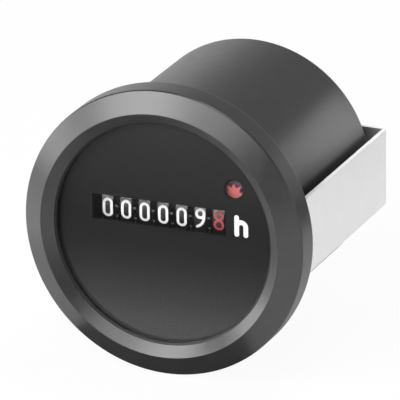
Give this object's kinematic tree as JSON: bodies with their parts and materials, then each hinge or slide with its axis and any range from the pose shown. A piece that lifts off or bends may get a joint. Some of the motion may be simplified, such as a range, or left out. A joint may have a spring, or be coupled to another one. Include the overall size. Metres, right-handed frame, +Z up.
{
  "type": "panel hour meter",
  "caption": "Round panel-mount hour meter: black barrel and bezel, drum counter and running indicator behind a lens, with a U-shaped clamp bracket.",
  "frame": {"origin": "on the barrel's axis at the rear face of the bezel, where the panel sits", "axes": "+Y back along the barrel through the panel, +X to the reader's right, +Z up"},
  "size_m": [0.06, 0.0674, 0.06],
  "materials": {
    "case_plastic": "satin black moulding",
    "lens_clear": "clear polished plastic",
    "dial_black": "matt black print",
    "plated_steel": "bright zinc plate",
    "steel": "turned",
    "nut_brass": "knurled",
    "terminal_brass": "tinned",
    "drum_grey": "matt",
    "drum_red_figures": "matt",
    "gear_ivory": "natural",
    "frame_black": "matt",
    "bush_grey": "matt",
    "star_red": "gloss",
    "motor_steel": "plated can",
    "board_green": "solder resist",
    "chip_black": "moulded",
    "crystal_can": "drawn can",
    "capacitor_blue": "sleeved can"
  },
  "bodies": {
    "meter": {"housing": "case_plastic", "bezel": "case_plastic", "lens": "lens_clear", "dial": "dial_black", "mounting_studs": "plated_steel", "terminal_left": "terminal_brass", "terminal_right": "terminal_brass", "counter_frame": "frame_black", "frame_screws": "steel", "number_shaft": "steel", "pinion_shaft": "steel", "front_bush": "bush_grey", "drive_motor": "motor_steel", "motor_screws": "steel", "circuit_board": "board_green", "quartz_crystal": "crystal_can", "driver_chip": "chip_black", "smoothing_capacitor": "capacitor_blue"},
    "clamp": {"mounting_bracket": "plated_steel", "lock_washers": "plated_steel", "clamp_nuts": "nut_brass"},
    "number_wheel_1": {"number_wheel_1": "drum_red_figures"},
    "number_wheel_2": {"number_wheel_2": "drum_grey"},
    "number_wheel_3": {"number_wheel_3": "drum_grey"},
    "number_wheel_4": {"number_wheel_4": "drum_grey"},
    "number_wheel_5": {"number_wheel_5": "drum_grey"},
    "number_wheel_6": {"number_wheel_6": "drum_grey"},
    "number_wheel_7": {"number_wheel_7": "drum_grey"},
    "transfer_pinion_1": {"transfer_pinion_1": "gear_ivory"},
    "transfer_pinion_2": {"transfer_pinion_2": "gear_ivory"},
    "transfer_pinion_3": {"transfer_pinion_3": "gear_ivory"},
    "transfer_pinion_4": {"transfer_pinion_4": "gear_ivory"},
    "transfer_pinion_5": {"transfer_pinion_5": "gear_ivory"},
    "transfer_pinion_6": {"transfer_pinion_6": "gear_ivory"},
    "worm_drive": {"worm_shaft": "steel", "drive_worm": "nut_brass", "drive_gear": "gear_ivory", "running_indicator": "star_red"},
    "motor_pinion": {"motor_pinion": "nut_brass"}
  },
  "joints": [
    {"name": "clamp_slide", "type": "slide", "parent": "meter", "child": "clamp", "axis": [0, 1, 0], "range_m": [-0.002, 0.008]},
    {"name": "number_wheel_1_turn", "type": "hinge", "parent": "meter", "child": "number_wheel_1", "pos_m": [0, 0.0062, 0.00286], "axis": [-1, 0, 0], "continuous": true},
    {"name": "number_wheel_2_turn", "type": "hinge", "parent": "meter", "child": "number_wheel_2", "pos_m": [0, 0.0062, 0.00286], "axis": [-1, 0, 0], "continuous": true},
    {"name": "number_wheel_3_turn", "type": "hinge", "parent": "meter", "child": "number_wheel_3", "pos_m": [0, 0.0062, 0.00286], "axis": [-1, 0, 0], "continuous": true},
    {"name": "number_wheel_4_turn", "type": "hinge", "parent": "meter", "child": "number_wheel_4", "pos_m": [0, 0.0062, 0.00286], "axis": [-1, 0, 0], "continuous": true},
    {"name": "number_wheel_5_turn", "type": "hinge", "parent": "meter", "child": "number_wheel_5", "pos_m": [0, 0.0062, 0.00286], "axis": [-1, 0, 0], "continuous": true},
    {"name": "number_wheel_6_turn", "type": "hinge", "parent": "meter", "child": "number_wheel_6", "pos_m": [0, 0.0062, 0.00286], "axis": [-1, 0, 0], "continuous": true},
    {"name": "number_wheel_7_turn", "type": "hinge", "parent": "meter", "child": "number_wheel_7", "pos_m": [0, 0.0062, 0.00286], "axis": [-1, 0, 0], "continuous": true},
    {"name": "transfer_pinion_1_turn", "type": "hinge", "parent": "meter", "child": "transfer_pinion_1", "pos_m": [0, 0.01387, -0.00271], "axis": [-1, 0, 0], "continuous": true},
    {"name": "transfer_pinion_2_turn", "type": "hinge", "parent": "meter", "child": "transfer_pinion_2", "pos_m": [0, 0.01387, -0.00271], "axis": [-1, 0, 0], "continuous": true},
    {"name": "transfer_pinion_3_turn", "type": "hinge", "parent": "meter", "child": "transfer_pinion_3", "pos_m": [0, 0.01387, -0.00271], "axis": [-1, 0, 0], "continuous": true},
    {"name": "transfer_pinion_4_turn", "type": "hinge", "parent": "meter", "child": "transfer_pinion_4", "pos_m": [0, 0.01387, -0.00271], "axis": [-1, 0, 0], "continuous": true},
    {"name": "transfer_pinion_5_turn", "type": "hinge", "parent": "meter", "child": "transfer_pinion_5", "pos_m": [0, 0.01387, -0.00271], "axis": [-1, 0, 0], "continuous": true},
    {"name": "transfer_pinion_6_turn", "type": "hinge", "parent": "meter", "child": "transfer_pinion_6", "pos_m": [0, 0.01387, -0.00271], "axis": [-1, 0, 0], "continuous": true},
    {"name": "worm_turn", "type": "hinge", "parent": "meter", "child": "worm_drive", "pos_m": [0.01448, 0, 0.00966], "axis": [0, -1, 0], "continuous": true},
    {"name": "motor_pinion_turn", "type": "hinge", "parent": "meter", "child": "motor_pinion", "pos_m": [0.01017, 0, 0.00686], "axis": [0, -1, 0], "continuous": true}
  ],
  "couplings": [
    {"joint": "number_wheel_2_turn", "follows": "number_wheel_1_turn", "ratio": 0.1},
    {"joint": "number_wheel_3_turn", "follows": "number_wheel_1_turn", "ratio": 0.01},
    {"joint": "number_wheel_4_turn", "follows": "number_wheel_1_turn", "ratio": 0.001},
    {"joint": "number_wheel_5_turn", "follows": "number_wheel_1_turn", "ratio": 0.0001},
    {"joint": "number_wheel_6_turn", "follows": "number_wheel_1_turn", "ratio": 0.00001},
    {"joint": "number_wheel_7_turn", "follows": "number_wheel_1_turn", "ratio": 0.000001},
    {"joint": "transfer_pinion_1_turn", "follows": "number_wheel_1_turn", "ratio": -0.25},
    {"joint": "transfer_pinion_2_turn", "follows": "number_wheel_1_turn", "ratio": -0.025},
    {"joint": "transfer_pinion_3_turn", "follows": "number_wheel_1_turn", "ratio": -0.0025},
    {"joint": "transfer_pinion_4_turn", "follows": "number_wheel_1_turn", "ratio": -0.00025},
    {"joint": "transfer_pinion_5_turn", "follows": "number_wheel_1_turn", "ratio": -0.000025},
    {"joint": "transfer_pinion_6_turn", "follows": "number_wheel_1_turn", "ratio": -0.0000025},
    {"joint": "worm_turn", "follows": "number_wheel_1_turn", "ratio": 20},
    {"joint": "motor_pinion_turn", "follows": "number_wheel_1_turn", "ratio": -40}
  ]
}
